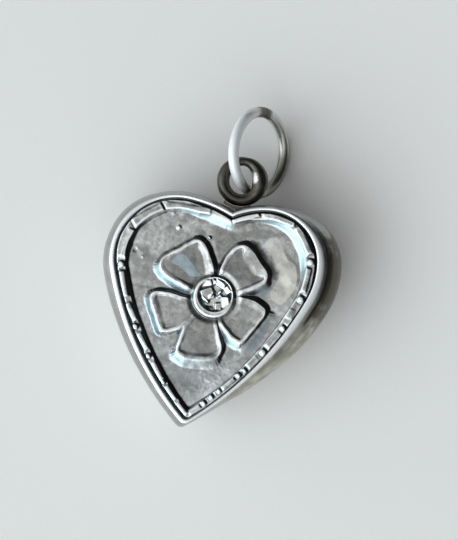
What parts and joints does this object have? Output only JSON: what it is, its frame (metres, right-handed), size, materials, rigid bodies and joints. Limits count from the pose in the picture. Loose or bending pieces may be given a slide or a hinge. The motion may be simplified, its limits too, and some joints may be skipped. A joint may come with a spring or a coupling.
{
  "type": "heart pendant",
  "caption": "Hollow puffy heart pendant with a domed back, a struck flower plate in a beaded border, an eyelet and a swinging open jump ring.",
  "frame": {"origin": "on the flat land of the domed back, under the middle of the heart; the pendant lies on its back on the plane z = 0", "axes": "+Z out of the decorated face, +Y from the flower towards the notch and the eyelet, +X to the right when looking at the face"},
  "size_m": [0.0172, 0.0241, 0.0065],
  "materials": {
    "body_silver": "tarnished silver, worn satin with polished high spots",
    "struck_silver": "struck silver, satin field with dark patina in the recesses",
    "solder_silver": "dull silver solder",
    "dark_silver": "heavily tarnished silver wire",
    "bright_silver": "polished silver wire with fine wear"
  },
  "bodies": {
    "pendant": {"back_shell": "body_silver", "front_plate": "struck_silver", "plate_solder": "solder_silver", "eyelet": "dark_silver", "eyelet_solder": "solder_silver"},
    "ring": {"jump_ring": "bright_silver"}
  },
  "joints": [
    {"name": "ring_swing", "type": "hinge", "parent": "pendant", "child": "ring", "pos_m": [-0.00007, 0.00944, 0.00445], "axis": [1, 0, 0], "range_deg": [-2, 86]}
  ]
}
